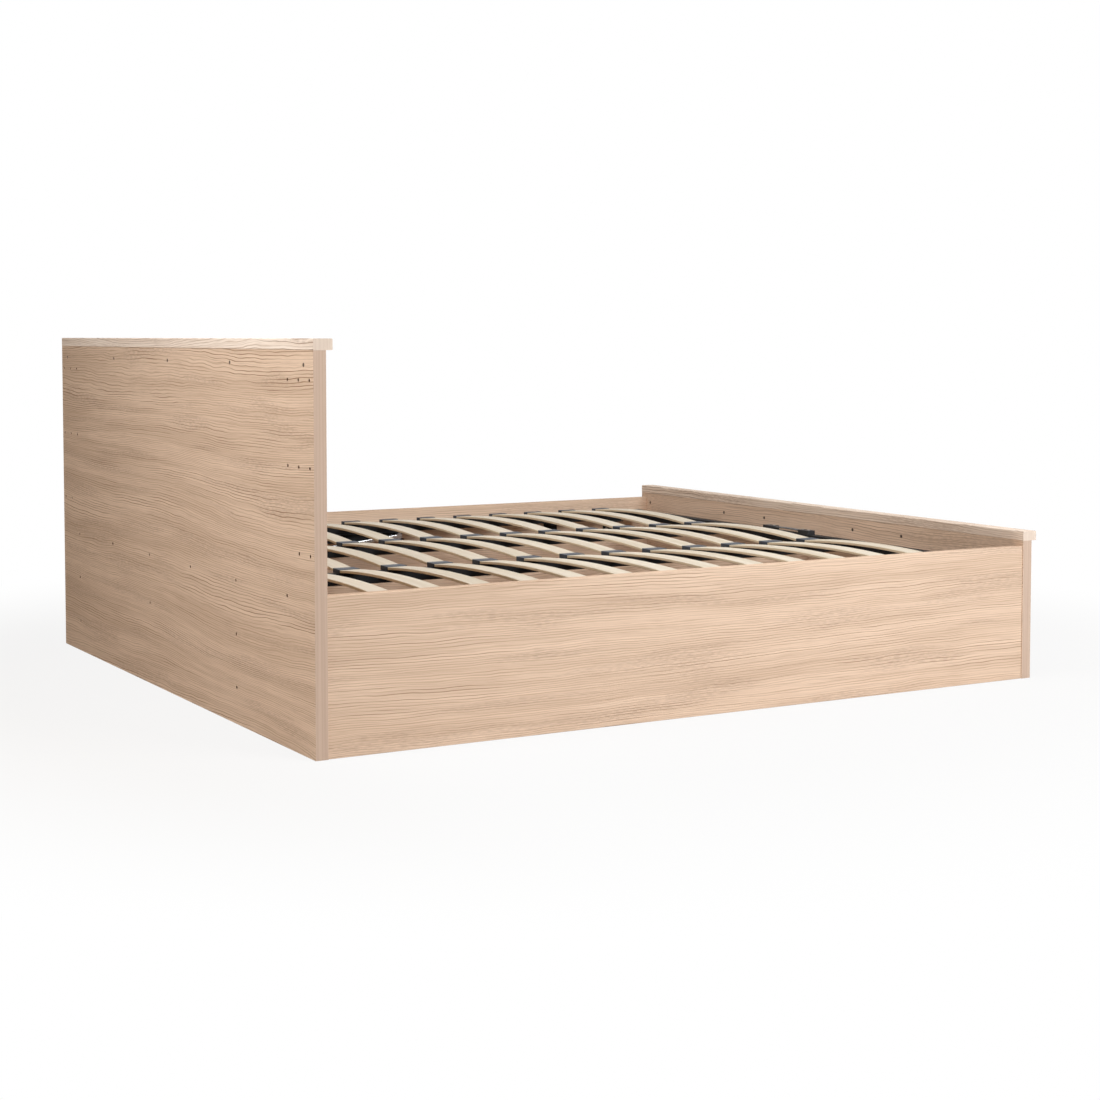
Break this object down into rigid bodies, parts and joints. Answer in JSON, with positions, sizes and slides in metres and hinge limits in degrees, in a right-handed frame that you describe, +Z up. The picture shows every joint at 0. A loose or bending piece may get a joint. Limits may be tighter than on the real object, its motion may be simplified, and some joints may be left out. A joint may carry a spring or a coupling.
{
  "type": "ottoman bed",
  "caption": "Flat-pack ottoman bed in oak-effect board with a tall headboard; a hinged frame of bowed slats lifts at the foot on gas struts over a divided storage well.",
  "frame": {"origin": "on the ground under the middle of the bed's outer box", "axes": "+X across the bed, +Y from the foot to the head along the bed, +Z up"},
  "size_m": [1.88, 2.085, 0.91],
  "materials": {
    "oak_board": "satin oak-effect foil on board",
    "batten_wood": "planed softwood",
    "floor_board": "smooth fibreboard",
    "zinc_steel": "zinc plated",
    "black_steel": "satin black powder coat",
    "pad_rubber": "matt",
    "black_plastic": "fine grain",
    "slate_plastic": "fine grain slate grey",
    "birch_slat": "lacquered birch plywood",
    "strap_webbing": "woven webbing",
    "bright_steel": "bright plated",
    "roller_nylon": "smooth",
    "strut_paint": "satin black",
    "strut_chrome": "polished"
  },
  "bodies": {
    "base": {"headboard_panel": "oak_board", "headboard_cap": "oak_board", "footboard_panel": "oak_board", "footboard_cap": "oak_board", "side_rail_left": "oak_board", "side_rail_right": "oak_board", "cap_cams": "zinc_steel", "cap_cam_bolts": "zinc_steel", "centre_board": "oak_board", "centre_dowels": "batten_wood", "floor_cleats": "batten_wood", "floor_panel_head_left": "floor_board", "floor_panel_head_right": "floor_board", "floor_panel_foot_left": "floor_board", "floor_panel_foot_right": "floor_board", "corner_brackets": "black_steel", "hinge_plate_left": "black_steel", "hinge_plate_right": "black_steel", "lift_plate_left": "black_steel", "lift_plate_right": "black_steel", "rest_brackets": "black_steel", "rest_pads": "pad_rubber", "panel_screws": "zinc_steel"},
    "lift_frame": {"side_tube_left": "black_steel", "side_tube_right": "black_steel", "inner_tube_left": "black_steel", "inner_tube_right": "black_steel", "head_tube": "black_steel", "foot_tube": "black_steel", "tube_plugs": "black_plastic", "hinge_lugs": "black_steel", "roller_channels": "black_steel", "side_holders_left": "slate_plastic", "side_holders_right": "slate_plastic", "inner_holders_left": "slate_plastic", "inner_holders_right": "slate_plastic", "slat_row_01": "birch_slat", "slat_row_02": "birch_slat", "slat_row_03": "birch_slat", "slat_row_04": "birch_slat", "slat_row_05": "birch_slat", "slat_row_06": "birch_slat", "slat_row_07": "birch_slat", "slat_row_08": "birch_slat", "slat_row_09": "birch_slat", "slat_row_10": "birch_slat", "slat_row_11": "birch_slat", "slat_row_12": "birch_slat", "slat_row_13": "birch_slat", "pull_strap": "strap_webbing", "strap_blocks": "black_plastic", "strap_screws": "zinc_steel"},
    "lift_arms": {"lift_arm_left": "bright_steel", "lift_arm_right": "bright_steel", "arm_rollers": "roller_nylon"},
    "strut_cylinders": {"strut_cylinder_left": "strut_paint", "strut_cylinder_right": "strut_paint"},
    "strut_rods": {"strut_rod_left": "strut_chrome", "strut_rod_right": "strut_chrome"}
  },
  "joints": [
    {"name": "lift", "type": "hinge", "parent": "base", "child": "lift_frame", "pos_m": [0, 0.9415, 0.277], "axis": [-1, 0, 0], "range_deg": [0, 40]},
    {"name": "arm_swing", "type": "hinge", "parent": "base", "child": "lift_arms", "pos_m": [0, 0.46734, 0.225], "axis": [-1, 0, 0], "range_deg": [0, 80]},
    {"name": "strut_swing", "type": "hinge", "parent": "base", "child": "strut_cylinders", "pos_m": [0, 0.38417, 0.0564], "axis": [-1, 0, 0], "range_deg": [0, 40]},
    {"name": "rod_swing", "type": "hinge", "parent": "lift_arms", "child": "strut_rods", "pos_m": [0, 0.28046, 0.24549], "axis": [-1, 0, 0], "range_deg": [-40, 0]}
  ],
  "couplings": [
    {"joint": "arm_swing", "follows": "lift", "ratio": 2},
    {"joint": "strut_swing", "follows": "lift", "ratio": 1},
    {"joint": "rod_swing", "follows": "lift", "ratio": -1}
  ]
}
